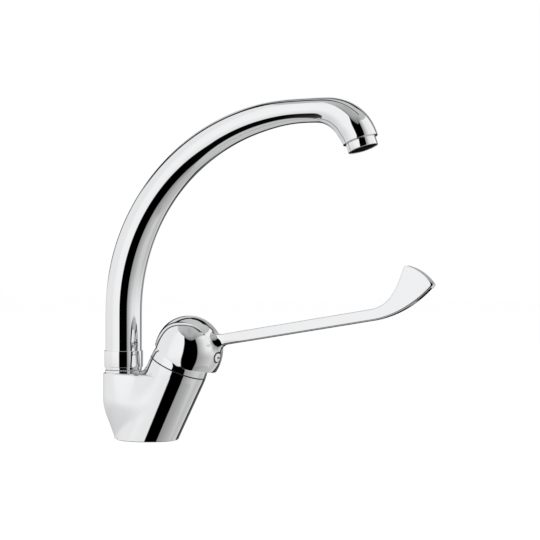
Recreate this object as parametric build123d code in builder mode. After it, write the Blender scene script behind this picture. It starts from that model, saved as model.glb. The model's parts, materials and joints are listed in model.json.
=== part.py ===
from build123d import *
import math
import os

os.makedirs("parts", exist_ok=True)

# Elbow lever tap: a deck mounted sink mixer with a swan neck spout and one long lever.
# Millimetres, +Z up, +X towards the user. The origin is the middle of the base on the deck.

# Shared fits
overrun = 30.0            # how far a cutting tool passes the face that it enters
running_gap = 0.05        # radial gap of a turning fit
seat_gap = 0.15           # radial gap of a piece that is fixed in a bore
face_gap = 0.2            # axial gap between faces that move past each other

# Housing: a cylinder that leans forward and stands on the deck
head_tilt = 24.5
head_radius = 24.7
head_height = 65.9
base_round = 1.6

# Rear boss that carries the spout
boss_x = -23.0
boss_radius = 17.3
boss_top = 55.5
boss_waist = 27.5
boss_round = 1.5
foot_x = -19.6
foot_radius = 10.4
neck_round = 5.5
neck_height = 17.0
neck_least = 0.2
neck_post_radius = 12.0

# Bores in the body
bore_floor = 24.5
nut_recess = 4.5          # from the housing's top face down to the cartridge's shoulder
inlet_radius = 4.5
inlet_spread = 10.0
inlet_depth = 14.0
stud_radius = 3.4
stud_x = -14.0
stud_depth = 13.0
port_drop = 5.0
way_radius = 3.0
lock_height = 36.5
lock_radius = 2.4
lock_length = 6.6
lock_key = 2.5

# Gasket under the base
gasket_outer = 21.6
gasket_width = 2.6
gasket_depth = 1.2

# Spout column
collar_step = 0.6
collar_height = 2.0
slide_step = 1.2
slide_height = 1.9
sleeve_lip = 1.0          # how far the sleeve stands out beyond the tube
sleeve_height = 13.9
sleeve_step = 6.5
sleeve_floor = 1.5
sleeve_chamfer = 0.3
spigot_radius = 11.0
spigot_bore = 7.0
spigot_low = 31.0
spigot_grip = 16.0
lock_groove_depth = 1.4
lock_groove_height = 5.2
seal_side = 2.4
seal_chamfer = 0.5
seal_lift = 7.5           # from the lock screw up to the first seal
seal_spacing = 7.0
seal_groove_height = 2.8

# Spout tube: a riser, a quarter arch, a short level run and a drooping beak
tube_radius = 15.25
tube_wall = 1.7
riser_top = 106.5
arch_radius = 162.5
arch_run = 12.5
beak_radius = 36.6
beak_turn = 71.5
quarter_turn = 90.0
beak_bore = 8.0
station_step = 13.0       # spacing of the cross-sections
arch_shares = (1.0, 0.99, 0.945, 0.89, 0.83, 0.75, 0.645)
beak_shares = (0.66, 0.755, 0.875, 0.955, 0.945)

# Aerator
aerator_thread = 11.2
aerator_ledge = 1.1
aerator_skirt = 7.2
aerator_lip = 1.1
aerator_chamfer = 0.4
aerator_thread_length = 6.5
aerator_wall = 1.45
screen_recess = 3.6
screen_thickness = 1.6
screen_depth = 6.0
screen_wall = 1.2
screen_hole = 0.85
screen_hole_spacing = 2.5
screen_rings = 4
washer_height = 1.4
washer_width = 2.6

# Cartridge, stacked up the leaning axis from its seat in the body
cartridge_radius = 20.0
cartridge_wall = 2.2
shoulder_height = 31.0
shoulder_wall = 2.5
throat_wall = 2.05
throat_height = 9.6
plate_gap = 0.3
plate_height = 4.7
port_radius = 3.0
port_ring_radius = 9.5
port_count = 3
port_angle = 60.0
port_seal_width = 1.3
port_seal_height = 1.6
disc_inset = 2.3
disc_height = 4.0
slider_inset = 4.8
mixing_radius = 8.0
mixing_depth = 1.5
carrier_height = 5.6
ball_gap = 0.1
ball_spare = 0.6
guide_radius = 11.5
guide_lift = 2.4
guide_flange_inset = 1.8
guide_flange_height = 2.4
guide_slot_back = 8.4
guide_slot_front = 6.8

# Stem and its pin
pivot_drop = 0.4          # from the cartridge's shoulder down to the pin
stem_width = 8.0
stem_depth = 7.0
stem_reach = 7.0          # above the cap's centre
stem_waist = 5.0
stem_tail_radius = 2.0
stem_ball = 3.0
pin_radius = 1.6

# Nut and domed ring round the cartridge's throat
nut_ledge = 1.3
nut_wall = 3.4
nut_height = 5.0
nut_hex_height = 3.6
nut_sides = 6
ring_height = 13.0
ring_step = 0.2           # how far the ring lies inside the housing's edge
ring_wall = 1.6
ring_clear = 1.25

# Lever: domed cap, arm and paddle in one casting
lever_turn = 10.0         # stored turn towards the -Y side
cap_overhang = 3.5        # how much larger the cap's ball is than the one through the housing's edge
skirt_gap = 0.3           # between that ball and the inside of the cap's skirt
cap_lift = 18.1
cap_forward = 3.2
cap_wall = 1.7
cap_inner_drop = 1.5
rim_drop = 9.1
rim_angle = 3.9
socket_radius = 7.6
socket_drop = 9.0
socket_spare = 1.0
screw_boss_radius = 6.6
arm_angle = 33.4
arm_rise = 4.15
arm_height = 8.75
arm_width = 6.6
arm_start = 20.0
arm_end = 172.0
arm_round = 2.3
root_start = 22.0
root_end = 37.0
root_height = 14.5
root_width = 12.5
paddle_reach = 55.0
paddle_lift = 19.65
heel_reach = 17.3
heel_lift = 6.05
flank_angle = 62.0
crown_reach = 33.0
crown_lift = 29.5
crown_bulge = 2.2
crown_round = 3.0

# Indicator plug over the set screw
plug_angle = 13.6
plug_radius = 3.9
plug_clear = 0.7
plug_depth = 3.0
plug_proud = 0.2
plug_round = 0.6
dot_radius = 1.1
dot_offset = 1.7
dot_height = 0.3
key_sides = 6
set_screw_radius = 2.4
set_screw_length = 8.0
set_screw_key = 2.5

# Sizes that follow from the ones above
bore_radius = spigot_radius + running_gap
tube_inner = tube_radius - tube_wall
sleeve_radius = tube_radius + sleeve_lip
collar_radius = sleeve_radius - collar_step
slide_radius = collar_radius - slide_step
slide_low = boss_top + collar_height
sleeve_low = slide_low + slide_height + face_gap
spigot_step = sleeve_low + sleeve_floor
seal_heights = (lock_height + seal_lift, lock_height + seal_lift + seal_spacing)
tube_low = sleeve_low + sleeve_step
arch_top = riser_top + arch_radius
beak_start = boss_x + arch_radius + arch_run
aerator_radius = aerator_thread + aerator_ledge
aerator_bore = aerator_thread - aerator_wall
mouth_bore = aerator_radius - aerator_lip
thread_depth = aerator_thread_length + washer_height
cavity_radius = cartridge_radius - cartridge_wall
throat_radius = guide_radius + running_gap + throat_wall
slider_radius = cavity_radius - slider_inset
seat_height = head_height - nut_recess - shoulder_height
plate_low = seat_height + plate_gap
disc_low = plate_low + plate_height
slider_low = disc_low + disc_height + running_gap
carrier_low = slider_low + disc_height
ball_height = carrier_low + carrier_height
shoulder = seat_height + shoulder_height
guide_top = shoulder + throat_height
flange_top = shoulder - shoulder_wall - face_gap
pivot_height = shoulder - pivot_drop
cap_height = head_height + cap_lift
edge_radius = math.hypot(head_radius, head_height - pivot_height)
ring_radius = edge_radius - ring_step
cap_radius = edge_radius + cap_overhang
arm_top = arm_rise + arm_height / 2
arm_low = arm_rise - arm_height / 2

# Planes and places of the leaning parts
tilt_sine = math.sin(math.radians(head_tilt))
tilt_cosine = math.cos(math.radians(head_tilt))
head_plane = Plane.XY.rotated((0, head_tilt, 0))
turned_plane = Plane(head_plane.location * Rotation(0, 0, -lever_turn))
axis_up = head_plane.z_dir
lever_forward = turned_plane.x_dir
lever_side = turned_plane.y_dir
pivot = axis_up * pivot_height
pin_plane = Plane(origin=pivot, x_dir=lever_forward, z_dir=-lever_side)
cap_centre = axis_up * cap_height + lever_forward * cap_forward
cap_plane = Plane(origin=cap_centre, x_dir=lever_forward, z_dir=-lever_side)
arm_plane = Plane(cap_plane.location * Rotation(0, 0, arm_angle))
plug_way = Plane(cap_plane.location * Rotation(0, 0, plug_angle)).x_dir
plug_cosine = math.cos(math.radians(plug_angle))
plug_slope = math.tan(math.radians(plug_angle))


def save(builder, name):
    """Label a finished piece and write its STEP file."""
    builder.part.label = name
    export_step(builder.part, f"parts/{name}.step")


def head_level(height):
    """Plane across the leaning axis at this height up the axis."""
    return head_plane.offset(height)


def turned_level(height):
    """The same, turned with the lever."""
    return turned_plane.offset(height)


def column_level(height):
    """Level plane on the spout's axis."""
    return Plane((boss_x, 0, height))


def along_plug(distance):
    """Plane across the set screw's axis at this distance from the cap's centre."""
    return Plane(origin=cap_centre + plug_way * distance, x_dir=lever_side, z_dir=plug_way)


def rod(plane, radius, length, mode=Mode.ADD):
    """Round rod that stands on a plane, added to or cut from the piece being made."""
    with BuildSketch(plane) as outline:
        Circle(radius)
    extrude(outline.sketch, amount=length, mode=mode)


def collar(plane, outer, inner, length, mode=Mode.ADD):
    """Flat ring that stands on a plane."""
    with BuildSketch(plane) as outline:
        Circle(outer)
        Circle(inner, mode=Mode.SUBTRACT)
    extrude(outline.sketch, amount=length, mode=mode)


def prism(plane, flat, sides, length, mode=Mode.ADD):
    """Many-sided rod with this distance from its axis to its flats."""
    with BuildSketch(plane) as outline:
        RegularPolygon(flat, sides, major_radius=False)
    extrude(outline.sketch, amount=length, mode=mode)


def ports(height, radius, length, mode=Mode.SUBTRACT):
    """The cartridge's three water ports, cut upwards from this height."""
    with BuildSketch(head_level(height)) as outline:
        with PolarLocations(port_ring_radius, port_count, start_angle=port_angle):
            Circle(radius)
    extrude(outline.sketch, amount=length, mode=mode)


def rim_edges(builder):
    """The widest round edges of a turned piece."""
    return builder.edges().filter_by(GeomType.CIRCLE).group_by(SortBy.RADIUS)[-1]


# Body: level sections of the leaning housing and of the boss behind it, joined by flat webs
def post_place(height):
    """Middle and radius of the rear boss at this height."""
    share = min(height / boss_waist, 1)
    return foot_x + (boss_x - foot_x) * share, foot_radius + (boss_radius - foot_radius) * share


def web_section(height, post_x, post_radius, inset=0):
    """Outline round the leaning housing's ellipse and the boss's circle, with their common tangents."""
    wide = head_radius / tilt_cosine - inset
    narrow = head_radius - inset
    radius = post_radius - inset
    head_x = height * tilt_sine / tilt_cosine
    reach = head_x - post_x
    square = wide**2 - narrow**2
    half_term = radius * reach
    bend = square - reach**2
    cosine = (-half_term + math.sqrt(half_term**2 - bend * (narrow**2 - radius**2))) / bend
    sine = math.sqrt(1 - cosine**2)
    support = math.sqrt((wide * cosine) ** 2 + (narrow * sine) ** 2)
    touch = (head_x + wide**2 * cosine / support, narrow**2 * sine / support)
    touch_angle = math.degrees(math.atan2(narrow * sine, wide * cosine))
    post_touch = (post_x + radius * cosine, radius * sine)
    with BuildSketch(Plane.XY.offset(height)) as section:
        with BuildLine():
            EllipticalCenterArc((head_x, 0), wide, narrow, -touch_angle, arc_size=2 * touch_angle)
            Line(touch, post_touch)
            ThreePointArc(post_touch, (post_x - radius, 0), (post_touch[0], -post_touch[1]))
            Line((post_touch[0], -post_touch[1]), (touch[0], -touch[1]))
        make_face()
    return section.sketch.face()


round_shares = ((0, 1), (0.3, 0.3), (1, 0))
flank_sections = [
    web_section(base_round * up, *post_place(base_round * up), base_round * back)
    for up, back in round_shares
]
flank_sections.append(web_section(boss_waist, boss_x, boss_radius))
flank_sections += [
    web_section(boss_top - boss_round * up, boss_x, boss_radius - boss_round * back)
    for up, back in reversed(round_shares)
]
neck_steps = 5
neck_sections = []
for step in range(neck_steps + 1):
    climb = neck_height * step / neck_steps
    neck_angle = math.acos(1 - step / neck_steps)
    bulge = neck_round * (1 - math.sin(neck_angle)) + neck_least
    height = boss_top + climb
    rear_x = height * tilt_sine / tilt_cosine - head_radius / tilt_cosine
    neck_sections.append(web_section(height, rear_x - bulge + neck_post_radius, neck_post_radius))

# Places of the water ports on the cartridge seat and where their ways lead
port_x = port_ring_radius * math.cos(math.radians(port_angle))
port_y = port_ring_radius * math.sin(math.radians(port_angle))
outlet_port = head_level(seat_height).from_local_coords((-port_ring_radius, 0, 0))
outlet_low = outlet_port - axis_up * port_drop

with BuildPart() as body:
    loft(flank_sections, ruled=True)
    loft(neck_sections)
    split(bisect_by=head_level(head_height), keep=Keep.BOTTOM)
    # Cartridge well and the wider thread for its nut
    rod(head_level(seat_height), cartridge_radius + seat_gap, head_height, mode=Mode.SUBTRACT)
    rod(head_level(shoulder), cartridge_radius + nut_ledge + seat_gap, head_height, mode=Mode.SUBTRACT)
    # Spout bore, water way from the cartridge to it, and the lock screw's hole
    rod(column_level(bore_floor), bore_radius, boss_top, mode=Mode.SUBTRACT)
    rod(Plane(origin=outlet_low, z_dir=axis_up), way_radius, port_drop + way_radius, mode=Mode.SUBTRACT)
    way_foot = Vector(boss_x, 0, bore_floor + way_radius)
    way = outlet_low - way_foot
    rod(Plane(origin=way_foot, z_dir=way), way_radius, way.length, mode=Mode.SUBTRACT)
    lock_way = Plane((boss_x, 0, lock_height), z_dir=(-1, 0, 0))
    rod(lock_way, lock_radius + seat_gap, overrun, mode=Mode.SUBTRACT)
    # Stud hole, gasket groove and the hose inlets with their ways up to the cartridge
    rod(Plane((stud_x, 0, 0)), stud_radius, stud_depth, mode=Mode.SUBTRACT)
    gasket_inner = gasket_outer - gasket_width
    collar(Plane.XY, gasket_outer + seat_gap, gasket_inner - seat_gap, gasket_depth, mode=Mode.SUBTRACT)
    for side in (-1, 1):
        rod(Plane((0, side * inlet_spread, 0)), inlet_radius, inlet_depth, mode=Mode.SUBTRACT)
        start = Vector(0, side * inlet_spread, inlet_depth - way_radius)
        way = head_level(seat_height).from_local_coords((port_x, side * port_y, 0)) - start
        rod(Plane(origin=start, z_dir=way), way_radius, way.length + way_radius, mode=Mode.SUBTRACT)
save(body, "body")

with BuildPart() as base_gasket:
    collar(Plane.XY, gasket_outer, gasket_inner, gasket_depth)
save(base_gasket, "base_gasket")

# Spout column, from the boss upwards
with BuildPart() as spout_collar:
    collar(column_level(boss_top), collar_radius, bore_radius + face_gap, collar_height)
    chamfer(rim_edges(spout_collar), sleeve_chamfer)
save(spout_collar, "spout_collar")

with BuildPart() as slide_ring:
    collar(column_level(slide_low), slide_radius, bore_radius + face_gap, slide_height)
save(slide_ring, "slide_ring")

lock_tip = boss_x - spigot_radius + lock_groove_depth - face_gap - face_gap
lock_end = lock_tip - lock_length
with BuildPart() as spout_lock_screw:
    rod(Plane((lock_tip, 0, lock_height), z_dir=(-1, 0, 0)), lock_radius, lock_length)
    lock_socket = Plane((lock_end, 0, lock_height), z_dir=(1, 0, 0))
    prism(lock_socket, lock_key / 2, key_sides, lock_key, mode=Mode.SUBTRACT)
save(spout_lock_screw, "spout_lock_screw")

with BuildPart() as spout_sleeve:
    collar(column_level(sleeve_low), sleeve_radius, spigot_radius + seat_gap, sleeve_height)
    rod(column_level(spigot_step), tube_inner, sleeve_height, mode=Mode.SUBTRACT)
    rod(column_level(tube_low), tube_radius + seat_gap, sleeve_height, mode=Mode.SUBTRACT)
    chamfer(rim_edges(spout_sleeve), sleeve_chamfer)
save(spout_sleeve, "spout_sleeve")

groove_floor = spigot_radius - running_gap - seal_side
with BuildPart() as spout_spigot:
    rod(column_level(spigot_low), spigot_radius, spigot_step - spigot_low)
    rod(column_level(spigot_step), tube_inner - seat_gap, spigot_grip)
    rod(column_level(spigot_low), spigot_bore, overrun + overrun + spigot_grip, mode=Mode.SUBTRACT)
    for height in seal_heights:
        low = column_level(height - seal_groove_height / 2)
        collar(low, spigot_radius + seat_gap, groove_floor, seal_groove_height, mode=Mode.SUBTRACT)
    low = column_level(lock_height - lock_groove_height / 2)
    groove_inner = spigot_radius - lock_groove_depth
    collar(low, spigot_radius + seat_gap, groove_inner, lock_groove_height, mode=Mode.SUBTRACT)
save(spout_spigot, "spout_spigot")

with BuildPart() as spout_seals:
    for height in seal_heights:
        collar(column_level(height - seal_side / 2), groove_floor + seal_side, groove_floor, seal_side)
    chamfer(rim_edges(spout_seals), seal_chamfer)
save(spout_seals, "spout_seals")


def share_at(shares, place):
    """Value of an evenly spaced table at this place between its ends."""
    spans = len(shares) - 1
    index = min(int(place * spans), spans - 1)
    return shares[index] + (shares[index + 1] - shares[index]) * (place * spans - index)


def station(x, height, climb):
    """Plane across the tube where it climbs at this angle."""
    run = (math.cos(math.radians(climb)), 0, math.sin(math.radians(climb)))
    return Plane(origin=(x, 0, height), x_dir=(0, 1, 0), z_dir=run)


# Cross-sections of the tube: its plane, outer radius and inner radius
stations = []
riser_steps = round((riser_top - tube_low) / station_step)
for step in range(riser_steps):
    height = tube_low + (riser_top - tube_low) * step / riser_steps
    stations.append((station(boss_x, height, quarter_turn), tube_radius, tube_inner))
arch_steps = round(math.radians(quarter_turn) * arch_radius / station_step)
for step in range(arch_steps + 1):
    turn = quarter_turn * step / arch_steps
    radius = tube_radius * share_at(arch_shares, step / arch_steps)
    x = boss_x + arch_radius * (1 - math.cos(math.radians(turn)))
    height = riser_top + arch_radius * math.sin(math.radians(turn))
    stations.append((station(x, height, quarter_turn - turn), radius, radius - tube_wall))
beak_steps = 2 * round(math.radians(beak_turn) * beak_radius / station_step)
for step in range(beak_steps + 1):
    turn = beak_turn * step / beak_steps
    radius = tube_radius * share_at(beak_shares, step / beak_steps)
    x = beak_start + beak_radius * math.sin(math.radians(turn))
    height = arch_top - beak_radius * (1 - math.cos(math.radians(turn)))
    stations.append((station(x, height, -turn), radius, beak_bore))
mouth = stations[-1][0]

with BuildPart() as spout:
    for plane, outer, inner in stations:
        with BuildSketch(plane):
            Circle(outer)
    loft()
    for plane, outer, inner in stations:
        with BuildSketch(plane):
            Circle(inner)
    loft(mode=Mode.SUBTRACT)
    rod(mouth.offset(-thread_depth), aerator_thread + seat_gap, overrun, mode=Mode.SUBTRACT)
save(spout, "spout")

# Aerator in the spout's mouth
screen_low = aerator_skirt - screen_recess - screen_thickness
screen_radius = aerator_bore - seat_gap
with BuildPart() as aerator_housing:
    rod(mouth.offset(-aerator_thread_length), aerator_thread, aerator_thread_length + aerator_skirt)
    rod(mouth.offset(face_gap), aerator_radius, aerator_skirt - face_gap)
    chamfer(rim_edges(aerator_housing), aerator_chamfer)
    rod(mouth.offset(-overrun), aerator_bore, overrun + overrun, mode=Mode.SUBTRACT)
    rod(mouth.offset(screen_low), mouth_bore, overrun, mode=Mode.SUBTRACT)
save(aerator_housing, "aerator_housing")

with BuildPart() as aerator_screen:
    rod(mouth.offset(screen_low), mouth_bore - seat_gap, screen_thickness)
    collar(mouth.offset(screen_low - screen_depth), screen_radius, screen_radius - screen_wall, screen_depth)
    with BuildSketch(mouth.offset(screen_low)):
        for ring in range(screen_rings):
            with PolarLocations(screen_hole_spacing * ring, max(key_sides * ring, 1)):
                RegularPolygon(screen_hole, key_sides)
    extrude(amount=screen_thickness, mode=Mode.SUBTRACT)
save(aerator_screen, "aerator_screen")

with BuildPart() as aerator_washer:
    collar(mouth.offset(-thread_depth), aerator_thread, aerator_thread - washer_width, washer_height)
save(aerator_washer, "aerator_washer")

# Cartridge: seals, base with its ports, two ceramic discs, carrier and housing
with BuildPart() as port_seals:
    ports(seat_height, port_radius + port_seal_width, port_seal_height, mode=Mode.ADD)
    ports(seat_height, port_radius, port_seal_height)
save(port_seals, "port_seals")

with BuildPart() as cartridge_base:
    rod(head_level(plate_low), cartridge_radius, plate_height)
    ports(plate_low, port_radius, plate_height)
    ports(plate_low, port_radius + port_seal_width + seat_gap, port_seal_height - plate_gap)
save(cartridge_base, "cartridge_base")

with BuildPart() as fixed_disc:
    rod(head_level(disc_low), cavity_radius - disc_inset, disc_height)
    ports(disc_low, port_radius, disc_height)
save(fixed_disc, "fixed_disc")

with BuildPart() as moving_disc:
    rod(turned_level(slider_low), slider_radius, disc_height)
    rod(turned_level(slider_low), mixing_radius, mixing_depth, mode=Mode.SUBTRACT)
save(moving_disc, "moving_disc")

with BuildPart() as disc_carrier:
    rod(turned_level(carrier_low), slider_radius, carrier_height)
    pocket_side = 2 * (stem_ball + ball_gap)
    with BuildSketch(turned_level(ball_height)):
        Rectangle(pocket_side, pocket_side)
    extrude(amount=-stem_ball - ball_spare, mode=Mode.SUBTRACT)
save(disc_carrier, "disc_carrier")

with BuildPart() as cartridge_housing:
    rod(head_level(disc_low), cartridge_radius, shoulder - disc_low)
    rod(head_level(shoulder), throat_radius, throat_height)
    rod(head_level(disc_low), cavity_radius, shoulder - disc_low - shoulder_wall, mode=Mode.SUBTRACT)
    rod(head_level(disc_low), guide_radius + running_gap, shoulder, mode=Mode.SUBTRACT)
save(cartridge_housing, "cartridge_housing")

# Guide that turns in the housing and carries the stem on its pin
with BuildPart() as stem_guide:
    guide_low = ball_height + guide_lift
    rod(turned_level(guide_low), guide_radius, guide_top - guide_low)
    guide_flange_radius = cavity_radius - guide_flange_inset
    rod(turned_level(flange_top - guide_flange_height), guide_flange_radius, guide_flange_height)
    with BuildSketch(turned_level(0)):
        with Locations(((guide_slot_front - guide_slot_back) / 2, 0)):
            Rectangle(guide_slot_front + guide_slot_back, stem_depth + 2 * seat_gap)
    extrude(amount=guide_top, mode=Mode.SUBTRACT)
    rod(pin_plane.offset(-overrun), pin_radius + running_gap, overrun + overrun, mode=Mode.SUBTRACT)
save(stem_guide, "stem_guide")

pin_half = guide_radius - face_gap
with BuildPart() as stem_pin:
    rod(pin_plane.offset(-pin_half), pin_radius, 2 * pin_half)
save(stem_pin, "stem_pin")

# Stem: a square bar above its pin, a round tail and a ball below it
ball_centre = axis_up * ball_height
with BuildPart() as stem:
    with BuildSketch(turned_level(pivot_height - stem_waist)):
        Rectangle(stem_width, stem_depth)
    extrude(amount=cap_height + stem_reach + stem_waist - pivot_height)
    rod(turned_level(ball_height), stem_tail_radius, pivot_height - ball_height)
    with Locations(ball_centre):
        Sphere(stem_ball)
    rod(pin_plane.offset(-overrun), pin_radius + running_gap, overrun + overrun, mode=Mode.SUBTRACT)
save(stem, "stem")

with BuildPart() as cartridge_nut:
    rod(head_level(shoulder), cartridge_radius + nut_ledge, nut_height)
    prism(head_level(shoulder), throat_radius + nut_wall, nut_sides, nut_height + nut_hex_height)
    rod(head_level(shoulder), throat_radius + seat_gap, overrun, mode=Mode.SUBTRACT)
save(cartridge_nut, "cartridge_nut")

# Domed ring: a zone of a ball about the lift pivot, with an inward flange on top
ring_low = head_height - pivot_height
ring_top = ring_low + ring_height


def zone_point(ball, level):
    """Point of a ball about the pivot at this level above it."""
    return (math.sqrt(ball**2 - level**2), level)


def zone_arc(ball, start, end):
    """Arc of that ball between two levels."""
    ThreePointArc(zone_point(ball, start), zone_point(ball, (start + end) / 2), zone_point(ball, end))


with BuildPart() as cover_ring:
    ring_inner = ring_radius - ring_wall
    ring_under = ring_top - ring_wall
    ring_hole = throat_radius + ring_clear
    with BuildSketch(pin_plane):
        with BuildLine():
            zone_arc(ring_radius, ring_low, ring_top)
            Line(zone_point(ring_radius, ring_top), (ring_hole, ring_top))
            Line((ring_hole, ring_top), (ring_hole, ring_under))
            Line((ring_hole, ring_under), zone_point(ring_inner, ring_under))
            zone_arc(ring_inner, ring_under, ring_low)
            Line(zone_point(ring_inner, ring_low), zone_point(ring_radius, ring_low))
        make_face()
    revolve(axis=Axis(pivot, axis_up))
save(cover_ring, "cover_ring")

# Arm with its upturned paddle, drawn in the lever's own upright plane
heel = (arm_end + heel_reach, arm_top + heel_lift)
crown = (arm_end + crown_reach, arm_top + crown_lift)
tip = (arm_end + paddle_reach, arm_low + paddle_lift)
flank_way = (math.cos(math.radians(flank_angle)), math.sin(math.radians(flank_angle)))
crown_width = math.dist(crown, tip)
crown_middle = (
    (crown[0] + tip[0]) / 2 + (crown[1] - tip[1]) / crown_width * crown_bulge,
    (crown[1] + tip[1]) / 2 + (tip[0] - crown[0]) / crown_width * crown_bulge,
)

with BuildPart() as arm:
    with BuildSketch(arm_plane.offset(-arm_width / 2)):
        with BuildLine():
            Polyline((arm_end, arm_low), (arm_start, arm_low), (arm_start, arm_top), (arm_end, arm_top))
            Spline((arm_end, arm_top), heel, crown, tangents=((1, 0), flank_way))
            ThreePointArc(crown, crown_middle, tip)
            TangentArc((arm_end, arm_low), tip, tangent=(1, 0))
        make_face()
        fillet(vertices().group_by(Axis.Y)[-1], crown_round)
    extrude(amount=arm_width)
    side_faces = arm.faces().filter_by(arm_plane)
    fillet(side_faces.edges(), arm_round)

# Hollow of the cap, less the bosses for the stem and the set screw, with room to swing about the pin
with BuildPart() as hollow:
    with Locations(cap_centre - axis_up * cap_inner_drop):
        Sphere(cap_radius - cap_wall)
    rod(turned_level(cap_height - socket_drop), socket_radius, overrun, mode=Mode.SUBTRACT)
    rod(along_plug(0), screw_boss_radius, overrun, mode=Mode.SUBTRACT)
    with Locations(pivot):
        Sphere(edge_radius + skirt_gap)


def arm_section(x):
    """Plane across the arm at this distance along it."""
    return Plane(origin=arm_plane.from_local_coords((x, arm_rise, 0)), x_dir=lever_side, z_dir=arm_plane.x_dir)


with BuildPart() as lever:
    with Locations(cap_centre):
        Sphere(cap_radius)
    with BuildSketch(arm_section(root_start)):
        Ellipse(root_width / 2, root_height / 2)
    with BuildSketch(arm_section(root_end)):
        RectangleRounded(arm_width, arm_height, arm_round)
    loft()
    rim_up = Plane(cap_plane.location * Rotation(0, 0, rim_angle)).y_dir
    split(bisect_by=Plane(origin=cap_centre - axis_up * rim_drop, z_dir=rim_up), keep=Keep.TOP)
    add(arm.part)
    add(hollow.part, mode=Mode.SUBTRACT)
    with BuildSketch(turned_level(pivot_height)):
        Rectangle(stem_width + 2 * seat_gap, stem_depth + 2 * seat_gap)
    extrude(amount=cap_height + stem_reach + socket_spare - pivot_height, mode=Mode.SUBTRACT)
    rod(along_plug(0), set_screw_radius + seat_gap, overrun, mode=Mode.SUBTRACT)
    rod(along_plug(cap_radius - plug_depth), plug_radius + plug_clear, overrun, mode=Mode.SUBTRACT)
save(lever, "lever")

# Set screw that meets the stem, the plug that hides it and the plug's two dots
with BuildPart() as set_screw:
    screw_start = (stem_width / 2 - cap_forward) / plug_cosine + set_screw_radius * plug_slope
    rod(along_plug(screw_start), set_screw_radius, set_screw_length)
    screw_socket = along_plug(screw_start + set_screw_length - set_screw_key)
    prism(screw_socket, set_screw_key / 2, key_sides, overrun, mode=Mode.SUBTRACT)
save(set_screw, "set_screw")

with BuildPart() as indicator_plug:
    rod(along_plug(cap_radius - plug_depth), plug_radius, plug_depth + plug_proud)
    plug_edges = indicator_plug.edges().group_by(Axis(cap_centre, plug_way))
    fillet(plug_edges[-1], plug_round)
save(indicator_plug, "indicator_plug")

with BuildPart() as red_dot:
    with BuildSketch(along_plug(cap_radius + plug_proud)):
        with Locations((-dot_offset, 0)):
            Circle(dot_radius)
    extrude(amount=dot_height)
save(red_dot, "red_dot")

with BuildPart() as blue_dot:
    with BuildSketch(along_plug(cap_radius + plug_proud)):
        with Locations((dot_offset, 0)):
            Circle(dot_radius)
    extrude(amount=dot_height)
save(blue_dot, "blue_dot")
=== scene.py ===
import bpy, bmesh, json
from math import asin, atan2, copysign, cos, degrees, hypot, pi, radians, sin, sqrt, tan
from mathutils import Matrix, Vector
from mathutils.bvhtree import BVHTree
from mathutils.interpolate import poly_3d_calc
from mathutils.kdtree import KDTree


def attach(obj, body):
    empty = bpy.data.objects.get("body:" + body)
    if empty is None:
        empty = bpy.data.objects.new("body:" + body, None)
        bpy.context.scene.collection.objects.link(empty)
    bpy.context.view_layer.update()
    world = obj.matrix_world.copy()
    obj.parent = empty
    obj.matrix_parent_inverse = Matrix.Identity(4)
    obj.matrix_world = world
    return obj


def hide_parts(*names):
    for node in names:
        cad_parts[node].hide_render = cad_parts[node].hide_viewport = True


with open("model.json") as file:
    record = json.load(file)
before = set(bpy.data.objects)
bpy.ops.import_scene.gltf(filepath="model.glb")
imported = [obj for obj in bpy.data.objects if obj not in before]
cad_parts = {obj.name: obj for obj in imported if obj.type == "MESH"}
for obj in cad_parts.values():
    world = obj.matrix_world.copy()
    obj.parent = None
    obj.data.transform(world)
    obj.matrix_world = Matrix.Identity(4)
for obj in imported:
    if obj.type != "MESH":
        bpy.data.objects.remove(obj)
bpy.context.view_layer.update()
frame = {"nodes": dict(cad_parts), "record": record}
scene = bpy.context.scene
MM = 0.001  # turns millimetres into metres
X_WAY, Y_WAY, Z_WAY = Vector((1, 0, 0)), Vector((0, 1, 0)), Vector((0, 0, 1))


def add(name, data):
    """A new object in the scene."""
    obj = bpy.data.objects.new(name, data)
    scene.collection.objects.link(obj)
    return obj


# Node trees

MIX_SOCKETS = {"RGBA": (6, 2), "FLOAT": (2, 0)}  # a mix node's first input and its output


def grey(tone):
    """A colour with full alpha, from one tone or from three."""
    return (*tone, 1.0) if isinstance(tone, tuple) else (tone, tone, tone, 1.0)


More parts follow.
